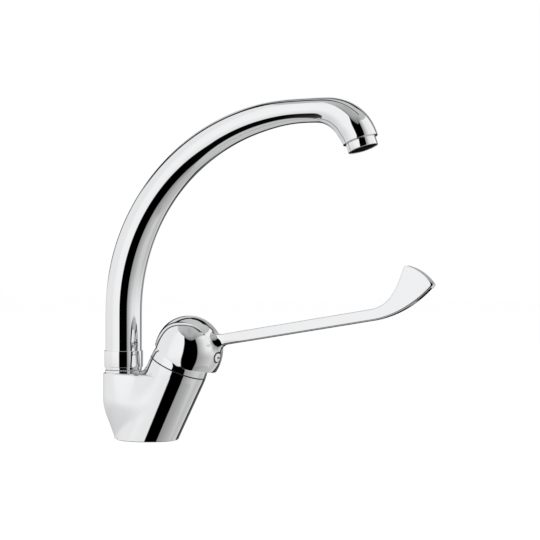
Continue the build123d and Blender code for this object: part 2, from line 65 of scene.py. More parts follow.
class Tree:
    """A node tree with short calls for the nodes used here."""

    def __init__(self, tree):
        self.tree = tree
        tree.nodes.clear()

    def feed(self, socket, value):
        """Link another node's output to a socket, or set the socket's own value."""
        if isinstance(value, bpy.types.NodeSocket):
            self.tree.links.new(value, socket)
        else:
            socket.default_value = value

    def node(self, kind, settings=(), **sockets):
        made = self.tree.nodes.new("ShaderNode" + kind)
        for name, value in dict(settings).items():
            setattr(made, name, value)
        for name, value in sockets.items():
            self.feed(made.inputs[name], value)
        return made

    def in_order(self, made, values):
        """Feed a node's sockets from the first on, and give its first output."""
        for socket, value in zip(made.inputs, values):
            self.feed(socket, value)
        return made.outputs[0]

    def calc(self, operation, *values):
        return self.in_order(self.node("Math", {"operation": operation}), values)

    def dot(self, value, direction):
        made = self.node("VectorMath", {"operation": "DOT_PRODUCT"})
        self.in_order(made, (value, tuple(direction)))
        return made.outputs["Value"]

    def step(self, value, low, high, out_low=0.0, out_high=1.0):
        """An S curve from out_low, for a low value, to out_high, for a high one."""
        made = self.node("MapRange", {"interpolation_type": "SMOOTHSTEP"})
        return self.in_order(made, (value, low, high, out_low, out_high))

    def fall(self, value, low, high):
        """1 for a low value, 0 for a high one."""
        return self.step(value, low, high, 1.0, 0.0)

    def window(self, value, start, full, end, gone):
        """1 where value lies between full and end, fading to 0 at start and at gone."""
        return self.calc("MULTIPLY", self.step(value, start, full), self.fall(value, end, gone))

    def mix(self, share, a, b, kind="RGBA"):
        """The colour or number a where share is 0 and b where it is 1."""
        made = self.node("Mix", {"data_type": kind}, Factor=share)
        first, out = MIX_SOCKETS[kind]
        self.feed(made.inputs[first], a)
        self.feed(made.inputs[first + 1], b)
        return made.outputs[out]

    def mix_shader(self, share, a, b):
        return self.in_order(self.node("MixShader"), (share, a, b))

    def ramp(self, value, stops):
        """Tones along a value, from stops of (place, tone)."""
        made = self.node("ValToRGB", Fac=value)
        elements = made.color_ramp.elements
        while len(elements) > 1:
            elements.remove(elements[-1])
        elements[0].position = stops[0][0]
        elements[0].color = grey(stops[0][1])
        for place, tone in stops[1:]:
            elements.new(place).color = grey(tone)
        return made.outputs[0]

    def finish(self, kind, shader):
        """Send the shader to an output node of this kind."""
        self.node(kind, Surface=shader)


# Camera: level, some way round from the tap's side

AZIMUTH = radians(22.0)
CAMERA_DISTANCE = 1300.0
CAMERA_AIM = Vector((94.2, 38.1, 141.4))
LENS, SENSOR_WIDTH = 103.8, 36.0
CLIP_START, CLIP_END = 50.0, 50000.0
TOWARD = Vector((sin(AZIMUTH), -cos(AZIMUTH), 0.0))  # from the tap to the camera
RIGHT = Vector((cos(AZIMUTH), sin(AZIMUTH), 0.0))  # to the right in the picture


def place_camera():
    data = bpy.data.cameras.new("camera")
    data.lens = LENS
    data.sensor_width = SENSOR_WIDTH
    data.sensor_fit = "HORIZONTAL"
    data.clip_start = CLIP_START * MM
    data.clip_end = CLIP_END * MM
    camera = add("camera", data)
    camera.location = (CAMERA_AIM + TOWARD * CAMERA_DISTANCE) * MM
    camera.rotation_euler = (pi / 2, 0.0, AZIMUTH)
    scene.camera = camera


place_camera()

# Studio: its tones depend only on the direction in which the chrome sees it.
# Bearings are in degrees, 0 towards the camera and more to its right.
# Heights are shares of a right angle, 0 level and 1 straight up.

WALL_TONES = [
    (-180, 0.74), (-165, 0.8), (-145, 0.86), (-120, 0.9), (-75, 0.9), (-60, 0.94), (-30, 0.95),
    (-23.5, 0.96), (-22, 0.004), (24.5, 0.004), (26.5, 0.6), (40, 0.74), (58, 0.9), (76, 0.93),
    (78, 0.8), (80, 0.93), (115, 0.95), (131, 0.93), (133, 0.03), (139, 0.03), (141, 0.6),
    (165, 0.66), (180, 0.74)]
LOWER_WALL_TONES = [
    (-180, 0.72), (-120, 0.8), (-85, 0.83), (-60, 0.86), (-23.5, 0.9), (-22, 0.004), (24.5, 0.004),
    (26.5, 0.58), (60, 0.72), (85, 0.8), (110, 0.72), (140, 0.8), (142, 0.03), (154, 0.03),
    (156, 0.62), (180, 0.72)]
WALLS_CHANGE = (-0.25, 0.05)  # heights between which the lower walls give way to the walls
WALL_TOPS = [
    (-180, 0.51), (-144, 0.51), (-140, 0.73), (-90, 0.71), (-55, 0.64), (-27, 0.53), (-23, 0.49),
    (-12, 0.4), (0, 0.36), (12, 0.38), (25, 0.46), (43, 0.54), (88, 0.54), (131, 0.45), (144, 0.49),
    (180, 0.51)]
WALL_TOP_EDGE = (-0.012, 0.012)
CEILING_TONES = [
    (-180, 0.75), (-60, 0.72), (-25, 0.52), (0, 0.46), (25, 0.52), (60, 0.7), (180, 0.75)]
HIGH_CEILING_TONES = [
    (-180, 0.75), (-120, 0.7), (-30, 0.7), (0, 0.64), (30, 0.68), (120, 0.76), (180, 0.75)]
CEILING_CHANGE = (0.0, 0.26)  # heights above the wall's top
RIGHT_SIDE = (-0.05, 0.05)  # change from the left half to the right
LINE_TONE = 0.03
LINE_FADE = 1.5  # a line fades out at this many times its half width

# A slanting dark line: where a plane cuts the view, kept where it is high
SLANT_NORMAL = (-0.555, -0.262, 0.789)  # to the right, upwards and towards the camera
SLANT_LEVEL = -0.363
SLANT_HALF = (-0.45, 0.0, 0.12, 0.036)  # from this place across to that one, half widths at both
SLANT_LEFT, SLANT_RIGHT = (0.22, 0.26), (0.66, 0.7)

# A level dark line behind the tap
LEVEL_LINE, LEVEL_HALF_LEFT, LEVEL_HALF_RIGHT = 0.515, 0.042, 0.075
LEVEL_ENDS = (0.74, 0.8)  # shares of a half turn from the camera

# Dark zones behind the tap: a low one and a patch on its left
SHADE_TONE, SHADE_TOP, SHADE_ENDS = 0.15, (-0.14, -0.08), (0.86, 0.9)
PATCH_TONE, PATCH_ACROSS, PATCH_HEIGHT = 0.08, (-0.985, -0.965, -0.82, -0.79), (0.01, 0.04, 0.22, 0.26)

# What the chrome sees below the walls
LOW_TONES = [
    (-180, 0.74), (-125, 0.74), (-95, 0.25), (-40, 0.05), (24.5, 0.02), (28, 0.55), (70, 0.68),
    (120, 0.72), (180, 0.74)]
LOW_TOPS = [(-180, 0.0), (-100, 0.0), (-82, 0.12), (-60, 0.16), (-25, 0.16), (-10, 0.05), (180, 0.0)]
LOW_EDGE = (-0.51, -0.46)  # less the height in LOW_TOPS
BOTTOM_TONE, BOTTOM_EDGE = 0.75, (-0.76, -0.7)

SOFT_LIGHT = 0.55  # strength of the light on what isn't polished
CHROME_TONE = 0.93  # share of the light that chrome throws back
SCREEN_GAMMA = 2.2


def seen(tone):
    """Strength of the light that chrome shows as this tone."""
    return tone**SCREEN_GAMMA / CHROME_TONE


class Sky(Tree):
    """The world's node tree, with the direction of a ray as values that tones depend on."""

    def __init__(self, tree):
        super().__init__(tree)
        self.way = self.node("TexCoord").outputs["Generated"]
        self.across = self.dot(self.way, RIGHT)
        turn = self.calc("ARCTAN2", self.across, self.dot(self.way, TOWARD))
        self.bearing = self.calc("DIVIDE", turn, pi)
        self.around = self.calc("MULTIPLY_ADD", self.bearing, 0.5, 0.5)
        self.rearward = self.calc("ABSOLUTE", self.bearing)
        self.height = self.calc("DIVIDE", self.calc("ARCSINE", self.dot(self.way, Z_WAY)), pi / 2)
        self.right_side = self.step(self.across, *RIGHT_SIDE)

    def heights(self, table):
        """A height round the studio, from a table of (bearing, height)."""
        return self.ramp(self.around, [(0.5 + bearing / 360, height) for bearing, height in table])

    def tones(self, table):
        """Light round the studio, from a table of (bearing, tone that chrome shows)."""
        return self.heights([(bearing, seen(tone)) for bearing, tone in table])

    def paint(self, base, share, tone):
        """This tone over the base where share is 1."""
        return self.mix(share, base, grey(seen(tone)))

    def line(self, value, middle, half):
        """1 where value is within half of the middle."""
        off = self.calc("ABSOLUTE", self.calc("SUBTRACT", value, middle))
        return self.fall(off, half, self.calc("MULTIPLY", half, LINE_FADE))

    def room(self):
        """Walls all round, and a ceiling over their tops."""
        rising = self.step(self.height, *WALLS_CHANGE)
        walls = self.mix(rising, self.tones(LOWER_WALL_TONES), self.tones(WALL_TONES))
        over = self.calc("SUBTRACT", self.height, self.heights(WALL_TOPS))
        higher = self.step(over, *CEILING_CHANGE)
        ceiling = self.mix(higher, self.tones(CEILING_TONES), self.tones(HIGH_CEILING_TONES))
        return self.mix(self.step(over, *WALL_TOP_EDGE), walls, ceiling)

    def slanting_line(self, base):
        normal = Vector()
        for part, direction in zip(SLANT_NORMAL, (RIGHT, Z_WAY, TOWARD)):
            normal += direction * part
        line = self.line(self.dot(self.way, normal), SLANT_LEVEL, self.step(self.across, *SLANT_HALF))
        start, full = (self.mix(self.right_side, *pair, "FLOAT") for pair in zip(SLANT_LEFT, SLANT_RIGHT))
        return self.paint(base, self.calc("MULTIPLY", line, self.step(self.height, start, full)), LINE_TONE)

    def level_line(self, base):
        half = self.mix(self.right_side, LEVEL_HALF_LEFT, LEVEL_HALF_RIGHT, "FLOAT")
        line = self.line(self.height, LEVEL_LINE, half)
        behind = self.step(self.rearward, *LEVEL_ENDS)
        return self.paint(base, self.calc("MULTIPLY", line, behind), LINE_TONE)

    def rear_zones(self, base):
        low = self.fall(self.height, *SHADE_TOP)
        shade = self.calc("MULTIPLY", low, self.step(self.rearward, *SHADE_ENDS))
        across = self.window(self.bearing, *PATCH_ACROSS)
        patch = self.calc("MULTIPLY", across, self.window(self.height, *PATCH_HEIGHT))
        return self.paint(self.paint(base, shade, SHADE_TONE), patch, PATCH_TONE)

    def below(self, base):
        depth = self.calc("SUBTRACT", self.height, self.heights(LOW_TOPS))
        low = self.mix(self.fall(depth, *LOW_EDGE), base, self.tones(LOW_TONES))
        return self.paint(low, self.fall(self.height, *BOTTOM_EDGE), BOTTOM_TONE)

    def light(self, color, strength):
        return self.node("Background", Color=color, Strength=strength).outputs[0]


def make_studio():
    """White for the camera, the painted studio for reflections and soft light for the rest."""
    scene.view_settings.view_transform = "Standard"
    scene.world = bpy.data.worlds.new("studio")
    scene.world.use_nodes = True
    sky = Sky(scene.world.node_tree)
    painted = sky.below(sky.rear_zones(sky.level_line(sky.slanting_line(sky.room()))))
    ray = sky.node("LightPath").outputs
    lit = sky.mix_shader(ray["Is Glossy Ray"], sky.light(grey(1.0), SOFT_LIGHT), sky.light(painted, 1.0))
    shown = sky.mix_shader(ray["Is Camera Ray"], lit, sky.light(grey(1.0), 1.0))
    sky.finish("OutputWorld", shown)


LAMP_AIM = Vector((90.0, 0.0, 130.0))


def lamp(name, place, side, power):
    """A square lamp that isn't seen in the chrome."""
    data = bpy.data.lights.new(name, "AREA")
    data.shape = "RECTANGLE"
    data.size = data.size_y = side * MM
    data.energy = power
    made = add(name, data)
    made.location = Vector(place) * MM
    made.rotation_euler = (LAMP_AIM - Vector(place)).to_track_quat("-Z", "Y").to_euler()
    made.visible_glossy = False


FLOOR_HALF, FLOOR_DROP = 6000.0, 0.2
FLOOR_GLOW, FLOOR_SHOWN, FLOOR_TONE = 0.87, 0.22, 0.9


def floor_look():
    """Nearly white with a trace of shadow for the camera, matt white for the tap."""
    look = bpy.data.materials.new("floor")
    look.use_nodes = True
    tree = Tree(look.node_tree)
    glow = tree.node("Emission", Color=grey(1.0), Strength=FLOOR_GLOW).outputs[0]
    pale = tree.node("BsdfDiffuse", Color=grey(FLOOR_SHOWN)).outputs[0]
    matt = tree.node("BsdfDiffuse", Color=grey(FLOOR_TONE)).outputs[0]
    bright = tree.in_order(tree.node("AddShader"), (glow, pale))
    camera_ray = tree.node("LightPath").outputs["Is Camera Ray"]
    tree.finish("OutputMaterial", tree.mix_shader(camera_ray, matt, bright))
    return look


def make_floor():
    """A large floor just below the deck face."""
    half = FLOOR_HALF * MM
    corners = [(-half, -half, 0), (half, -half, 0), (half, half, 0), (-half, half, 0)]
    mesh = bpy.data.meshes.new("floor")
    mesh.from_pydata(corners, [], [(0, 1, 2, 3)])
    mesh.materials.append(floor_look())
    floor = add("floor", mesh)
    floor.location.z = -FLOOR_DROP * MM
    floor.visible_glossy = False


make_studio()
lamp("key", place=(-900.0, -1300.0, 1400.0), side=1200.0, power=14)
lamp("fill", place=(1500.0, -1000.0, 1200.0), side=1400.0, power=9)
make_floor()

# Materials: each has a faint mottle, given by its scale and its detail. Bump heights are in metres.
# Rough is the least roughness and what the mottle adds, as shares of the material's own

METAL_FINE, METAL_WIDE, METAL_ROUGH, METAL_BUMP_HEIGHT = (900.0, 3.0), (35.0, 2.0), (0.7, 0.6), 0.0002
PLASTIC_FINE, PLASTIC_ROUGH, PLASTIC_BUMP_HEIGHT = (700.0, 4.0), (0.85, 0.3), 0.0001
PLASTIC_GRAIN, PLASTIC_BUMP = 0.08, 0.15


class Surface(Tree):
    """A material's node tree, with its mottle and its shader."""

    def __init__(self, name):
        self.look = bpy.data.materials.new(name)
        self.look.use_nodes = True
        super().__init__(self.look.node_tree)
        self.place = self.node("TexCoord").outputs["Object"]

    def noise(self, scale, detail):
        return self.node("TexNoise", Vector=self.place, Scale=scale, Detail=detail).outputs[0]

    def shader(self, color, grain, mottle, metallic, fine, roughness, rough_shares):
        """Darker by the grain where the mottle is 0, rougher where fine is 1."""
        made = self.node("BsdfPrincipled", Metallic=metallic)
        darker = tuple(part * (1 - grain) for part in color)
        self.feed(made.inputs["Base Color"], self.mix(mottle, grey(darker), grey(color)))
        least, gain = (share * roughness for share in rough_shares)
        self.feed(made.inputs["Roughness"], self.calc("MULTIPLY_ADD", fine, gain, least))
        self.finish("OutputMaterial", made.outputs[0])
        return made

    def bump(self, shader, strength, distance, fine):
        made = self.node("Bump", Strength=strength, Distance=distance, Height=fine)
        self.feed(shader.inputs["Normal"], made.outputs[0])


def metal(name, color, roughness, grain, bump):
    """Polished or machined metal: faint changes of tone and polish over the surface."""
    surface = Surface(name)
    fine, wide = surface.noise(*METAL_FINE), surface.noise(*METAL_WIDE)
    shader = surface.shader(color, grain, wide, 1.0, fine, roughness, METAL_ROUGH)
    if bump:
        surface.bump(shader, bump, METAL_BUMP_HEIGHT, fine)
    return surface.look


def solid(name, color, roughness, specular):
    """Plastic, rubber or ceramic with a faint mottle."""
    surface = Surface(name)
    fine = surface.noise(*PLASTIC_FINE)
    shader = surface.shader(color, PLASTIC_GRAIN, fine, 0.0, fine, roughness, PLASTIC_ROUGH)
    shader.inputs["Specular IOR Level"].default_value = specular
    surface.bump(shader, PLASTIC_BUMP, PLASTIC_BUMP_HEIGHT, fine)
    return surface.look


METALS = {  # colour, roughness, grain and bump
    "chrome_plate": ((0.925, 0.93, 0.94), 0.02, 0.02, 0.0),
    "raw_brass": ((0.80, 0.60, 0.28), 0.28, 0.15, 0.1),
    "plain_steel": ((0.62, 0.62, 0.61), 0.25, 0.12, 0.1),
}
PLASTICS = {  # colour, roughness and specular level
    "black_rubber": ((0.02, 0.02, 0.02), 0.6, 0.5),
    "pale_slide": ((0.80, 0.80, 0.78), 0.35, 0.5),
    "grey_cartridge": ((0.55, 0.56, 0.58), 0.45, 0.5),
    "white_ceramic": ((0.88, 0.88, 0.84), 0.2, 0.5),
    "screen_plastic": ((0.020, 0.013, 0.013), 0.75, 0.05),
    "plug_plastic": ((0.97, 0.97, 0.97), 0.15, 0.5),
    "red_mark": ((0.32, 0.004, 0.008), 0.5, 0.05),
    "blue_mark": ((0.03, 0.25, 0.75), 0.3, 0.5),
}
looks = {name: metal(name, *values) for name, values in METALS.items()}
looks |= {name: solid(name, *values) for name, values in PLASTICS.items()}
for part in frame["record"]["subparts"]:
    obj = frame["nodes"][part["node"]]
    obj.data.materials.clear()
    obj.data.materials.append(looks[part["material_slot"]])

# Shapes

HEAD_TILT = radians(24.5)
LEVER_TURN = radians(10.0)
PIVOT_HEIGHT, CAP_HEIGHT, CAP_FORWARD = 61.0, 84.0, 3.2
UP = Vector((sin(HEAD_TILT), 0.0, cos(HEAD_TILT)))  # along the housing's axis
HEAD_X = Vector((cos(HEAD_TILT), 0.0, -sin(HEAD_TILT)))
FORWARD = HEAD_X * cos(LEVER_TURN) - Y_WAY * sin(LEVER_TURN)  # the way that the lever points
SIDE = HEAD_X * sin(LEVER_TURN) + Y_WAY * cos(LEVER_TURN)
PIVOT = UP * PIVOT_HEIGHT
CAP = UP * CAP_HEIGHT + FORWARD * CAP_FORWARD
CAP_RADIUS = 28.68
BOSS_X = -23.0
WELD = 1e-7  # metres
CREASE, LEVER_CREASE, BODY_CREASE = 30.0, 35.0, 28.0  # degrees
LEAST = 0.1  # keeps a division by a length away from 0
ROUND_STEPS = 5
TURNED_STEPS, PLUG_STEPS, MARK_STEPS = 144, 96, 40


def smooth(value, low, high):
    """0 below low, 1 above high and an S curve between."""
    t = min(max((value - low) / (high - low), 0.0), 1.0)
    return t * t * (3 - 2 * t)


def soft_min(a, b, reach):
    """The smaller of two values, eased over this reach where they meet."""
    near = max(reach - abs(a - b), 0.0) / reach
    return min(a, b) - near * near * reach / 4


def bend(start, start_slope, end, end_slope, t):
    """Cubic from start to end with these slopes."""
    return (start * (2 * t**3 - 3 * t**2 + 1) + start_slope * (t**3 - 2 * t**2 + t)
            + end * (-2 * t**3 + 3 * t**2) + end_slope * (t**3 - t**2))


def skin(rings, loop=False, tips=(None, None)):
    """Quads between rings; loop joins the last to the first, tips close the ends."""
    count = len(rings[0])
    points = [point for ring in rings for point in ring]
    faces = []
    for a in range(len(rings) if loop else len(rings) - 1):
        b = (a + 1) % len(rings)
        for i in range(count):
            j = (i + 1) % count
            faces.append((a * count + i, a * count + j, b * count + j, b * count + i))
    for tip, ring in zip(tips, (0, len(rings) - 1)):
        if tip is not None:
            points.append(tip)
            for i in range(count):
                faces.append((ring * count + i, ring * count + (i + 1) % count, len(points) - 1))
    return points, faces


def mesh_of(name, points, faces):
    """A mesh in metres from points in millimetres, with its faces turned outwards."""
    mesh = bpy.data.meshes.new(name)
    mesh.from_pydata([tuple(part * MM for part in point) for point in points], [], faces)
    bm = bmesh.new()
    bm.from_mesh(mesh)
    bmesh.ops.remove_doubles(bm, verts=bm.verts, dist=WELD)
    bmesh.ops.recalc_face_normals(bm, faces=bm.faces)
    bm.to_mesh(mesh)
    bm.free()
    return mesh


def put(mesh, look, body, nodes=(), crease=CREASE):
    """The mesh as a visible piece that rides on a body and stands for CAD nodes."""
    mesh.polygons.foreach_set("use_smooth", [True] * len(mesh.polygons))
    mesh.set_sharp_from_angle(angle=radians(crease))
    mesh.materials.clear()
    mesh.materials.append(looks[look])
    obj = add(mesh.name, mesh)
    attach(obj, body)
    if nodes:
        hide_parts(*nodes)


def set_normals(mesh, exact_normal):
    """Shade the mesh by exact_normal(vertex, normal) wherever that gives a normal."""
    normals = []
    for loop, corner in zip(mesh.loops, mesh.corner_normals):
        normal = Vector(corner.vector)
        exact = exact_normal(mesh.vertices[loop.vertex_index], normal)
        normals.append(tuple(normal if exact is None else exact))
    mesh.normals_split_custom_set(normals)


def rounded(corners):
    """A closed outline from (x, y, radius) corners; 0 leaves a corner sharp."""
    outline = []
    for i, (x, y, radius) in enumerate(corners):
        here = Vector((x, y))
        if radius == 0:
            outline.append(tuple(here))
            continue
        back = (Vector(corners[i - 1][:2]) - here).normalized()
        ahead = (Vector(corners[(i + 1) % len(corners)][:2]) - here).normalized()
        half = back.angle(ahead) / 2
        middle = here + (back + ahead).normalized() * (radius / sin(half))
        first = here + back * (radius / tan(half)) - middle
        last = here + ahead * (radius / tan(half)) - middle
        turn = copysign(pi - 2 * half, first.x * last.y - first.y * last.x)
        for k in range(ROUND_STEPS + 1):
            c, s = cos(turn * k / ROUND_STEPS), sin(turn * k / ROUND_STEPS)
            outline.append((middle.x + first.x * c - first.y * s, middle.y + first.x * s + first.y * c))
    return outline


def circle(middle, across, other, radius, steps):
    angles = [2 * pi * i / steps for i in range(steps)]
    return [middle + (across * cos(a) + other * sin(a)) * radius for a in angles]


def turned(outline, spindle, steps):
    """Rings of (radius, height) points turned about a spindle of (origin, axis, across)."""
    origin, axis, across = spindle
    other = axis.cross(across)
    return [circle(origin + axis * height, across, other, radius, steps) for radius, height in outline]


def turned_solid(name, outline, low, high, spindle, steps):
    """A mesh turned from an open outline that ends on the spindle at these two heights."""
    tips = [spindle[0] + spindle[1] * height for height in (low, high)]
    return mesh_of(name, *skin(turned(outline, spindle, steps), tips=tips))


def put_turned(name, outline, spindle, look, body, nodes=(), steps=TURNED_STEPS):
    put(mesh_of(name, *skin(turned(outline, spindle, steps), loop=True)), look, body, nodes)


# Spout: a riser, a quarter circle, a short level run and the beak

TUBE_RADIUS, TUBE_WALL = 15.25, 1.7
SPOUT_FOOT = 66.1
RISER, RUN = 40.4, 12.5
ARCH_RADIUS, ARCH_TURN = 162.5, pi / 2
BEAK_RADIUS, BEAK_TURN = 36.6, radians(71.5)
ARCH, BEAK = ARCH_RADIUS * ARCH_TURN, BEAK_RADIUS * BEAK_TURN
STRETCHES = ((RISER, 0.0), (ARCH, ARCH_TURN), (RUN, 0.0), (BEAK, BEAK_TURN))
SPOUT_LENGTH = RISER + ARCH + RUN + BEAK
EASE_REACH, EASE_SAMPLES = 7.0, 14
ARCH_SHARES = (1.0, 0.99, 0.945, 0.89, 0.83, 0.75, 0.645)  # of the tube's radius, along the arch
BEAK_SHARES = (0.66, 0.755, 0.875, 0.955, 0.945)  # and along the beak
KNOTS = [(0.0, 1.0)]
KNOTS += [(RISER + ARCH * k / (len(ARCH_SHARES) - 1), share) for k, share in enumerate(ARCH_SHARES)]
KNOTS += [(RISER + ARCH + RUN + BEAK * k / (len(BEAK_SHARES) - 1), share)
          for k, share in enumerate(BEAK_SHARES)]
TUBE_STEPS = 128
OUTER_EVERY, INNER_EVERY = 4, 10  # stations from one ring to the next
STATION_STEP = 0.5
STATIONS = OUTER_EVERY * round(SPOUT_LENGTH / STATION_STEP / OUTER_EVERY)
LIP, LIP_STEPS = 0.5, 5
MOUTH_BORE, MOUTH_DEPTH, NECK_BORE = 11.35, 7.9, 8.0
NECK_START = RISER + ARCH - 20.0  # the bore narrows to its neck from here to the beak


def raw_turn(length):
    """How far the tube has turned at this length along it."""
    done = 0.0
    for stretch, turn in STRETCHES:
        if length <= stretch:
            return done + turn * max(length, 0.0) / stretch
        done += turn
        length -= stretch
    return done


def eased_turn(length):
    """The same, eased where a straight run meets a bend."""
    reach = min(EASE_REACH, length, SPOUT_LENGTH - length)
    if reach <= 0:
        return raw_turn(length)
    samples = [length - reach + 2 * reach * (k + 0.5) / EASE_SAMPLES for k in range(EASE_SAMPLES)]
    return sum(raw_turn(sample) for sample in samples) / EASE_SAMPLES


def knot_slope(k):
    """Slope of the tube's radius at a knot, level at the ends and at a turning point."""
    if k in (0, len(KNOTS) - 1):
        return 0.0
    before = (KNOTS[k][1] - KNOTS[k - 1][1]) / (KNOTS[k][0] - KNOTS[k - 1][0])
    after = (KNOTS[k + 1][1] - KNOTS[k][1]) / (KNOTS[k + 1][0] - KNOTS[k][0])
    return 0.0 if before * after <= 0 else 2 * before * after / (before + after)


def tube_radius(length):
    """Outer radius along the tube, a smooth curve through the knots."""
    i = 0
    while i < len(KNOTS) - 2 and length > KNOTS[i + 1][0]:
        i += 1
    (start, low), (end, high) = KNOTS[i], KNOTS[i + 1]
    reach = end - start
    t = min(max((length - start) / reach, 0.0), 1.0)
    return TUBE_RADIUS * bend(low, reach * knot_slope(i), high, reach * knot_slope(i + 1), t)


def centre_line():
    """Stations along the tube's middle: (length, x, z, turn)."""
    stations = []
    x, z = BOSS_X, SPOUT_FOOT
    step = SPOUT_LENGTH / STATIONS
    for k in range(STATIONS + 1):
        length = SPOUT_LENGTH * k / STATIONS
        stations.append((length, x, z, eased_turn(length)))
        ahead = eased_turn(min(length + step / 2, SPOUT_LENGTH))
        x += sin(ahead) * step
        z += cos(ahead) * step
    return stations


CENTRES = centre_line()
MOUTH_TURN = CENTRES[-1][3]
MOUTH = Vector((CENTRES[-1][1], 0.0, CENTRES[-1][2]))
MOUTH_WAY = Vector((sin(MOUTH_TURN), 0.0, cos(MOUTH_TURN)))
MOUTH_SPINDLE = (MOUTH, MOUTH_WAY, Vector((-cos(MOUTH_TURN), 0.0, sin(MOUTH_TURN))))


def tube_ring(station, radius, push=0.0):
    """A ring round the tube at a station, pushed along the tube."""
    length, x, z, turn = CENTRES[station]
    along = Vector((sin(turn), 0.0, cos(turn)))
    outward = Vector((-cos(turn), 0.0, sin(turn)))
    return circle(Vector((x, 0.0, z)) + along * push, outward, Y_WAY, radius, TUBE_STEPS)


def put_spout():
    """The tube's outside, its rounded lip, the recess for the aerator and its bore."""
    rings = [tube_ring(k, tube_radius(CENTRES[k][0])) for k in range(0, STATIONS, OUTER_EVERY)]
    mouth_radius = tube_radius(SPOUT_LENGTH)
    for k in range(LIP_STEPS + 1):
        angle = pi / 2 * k / LIP_STEPS
        radius = mouth_radius - LIP * (1 - cos(angle))
        rings.append(tube_ring(STATIONS, radius, -LIP * (1 - sin(angle))))
    deep = STATIONS - round(MOUTH_DEPTH / STATION_STEP)
    rings += [tube_ring(STATIONS, MOUTH_BORE), tube_ring(deep, MOUTH_BORE), tube_ring(deep, NECK_BORE)]
    for k in range(deep - INNER_EVERY, -1, -INNER_EVERY):
        length = CENTRES[k][0]
        wider = tube_radius(length) - TUBE_WALL - NECK_BORE
        rings.append(tube_ring(k, NECK_BORE + wider * (1 - smooth(length, NECK_START, RISER + ARCH + RUN))))
    put(mesh_of("spout_skin", *skin(rings, loop=True)), "chrome_plate", "spout_body", ["spout"])


# Aerator: corners are (radius, height out of the spout's mouth, rounding)

AERATOR_COLLAR = [
    (9.75, -6.5, 0), (11.2, -6.5, 0), (11.2, 0.2, 0), (12.3, 0.2, 0.35), (12.3, 7.2, 0.5),
    (11.2, 7.2, 0.4), (11.2, 2.0, 0), (9.75, 2.0, 0)]
AERATOR_LINER = [(10.5, 3.65, 0), (11.15, 3.65, 0), (11.15, 6.9, 0.2), (10.7, 6.9, 0.2)]


def put_aerator():
    """The chrome collar in the spout's mouth and the dark liner inside it."""
    put_turned("aerator_skin", rounded(AERATOR_COLLAR), MOUTH_SPINDLE,
               "chrome_plate", "spout_body", ["aerator_housing"])
    put_turned("aerator_liner", rounded(AERATOR_LINER), MOUTH_SPINDLE, "screen_plastic", "spout_body")


# Sleeve under the spout and collar on the boss, with heights from the deck

COLUMN_SPINDLE = (Vector((BOSS_X, 0.0, 0.0)), Z_WAY, X_WAY)
SLEEVE = [
    (14.6, 57.95, 0), (15.3, 57.95, 0.3), (15.3, 60.1, 0), (16.25, 60.1, 0.4), (16.25, 73.9, 0.35),
    (15.4, 73.9, 0.2), (15.4, SPOUT_FOOT, 0), (13.55, SPOUT_FOOT, 0), (13.55, 61.1, 0), (11.15, 61.1, 0),
    (11.15, 59.6, 0), (14.6, 59.6, 0)]
COLLAR = [(11.25, 55.5, 0), (15.65, 55.5, 0.3), (15.65, 57.5, 0.45), (11.25, 57.5, 0)]


def put_column():
    put_turned("sleeve_skin", rounded(SLEEVE), COLUMN_SPINDLE,
               "chrome_plate", "spout_body", ["spout_sleeve"])
    put_turned("collar_skin", rounded(COLLAR), COLUMN_SPINDLE,
               "chrome_plate", "tap_body", ["spout_collar"])


# Ring between the housing and the cap. Heights run up from the pivot

HEAD_SPINDLE = (PIVOT, UP, HEAD_X)
JOINT = 67.75  # height of the joint up the housing's axis
JOINT_LEVEL = JOINT - PIVOT_HEIGHT
RING_LIFT = 0.4
RING_LOW = JOINT_LEVEL + RING_LIFT
RING_RADIUS, RING_SLOPE = 24.5, 0.085  # the outside leans inwards by this slope
RING_INSIDE, RING_FOOT_RADIUS, RING_EDGE_RADIUS = 23.2, 23.9, 24.2
RING_CHAMFER, RING_START, RING_RISE = 0.3, 0.25, 17.65
GUARD_BALL, GUARD_EASE = 27.4, 1.2  # ball about the pivot that the ring stays inside
RING_HOLE, RING_TOP, RING_CEILING = 14.9, 17.9, 16.3
RING_WALL, RING_INSIDE_MOST = 1.8, 22.6
RING_OUTER_STEPS, RING_INNER_STEPS = 24, 12
# A black ring in the joint between the ring and the housing: painted shade of the gap
JOINT_SHADE_INSIDE, JOINT_SHADE_RADIUS, JOINT_SHADE_DROP, JOINT_SHADE_PROUD = 22.0, 24.1, 0.55, 0.2


def ball_radius(ball, level):
    """Radius at this level of a ball about the pivot."""
    return sqrt(ball**2 - level**2)


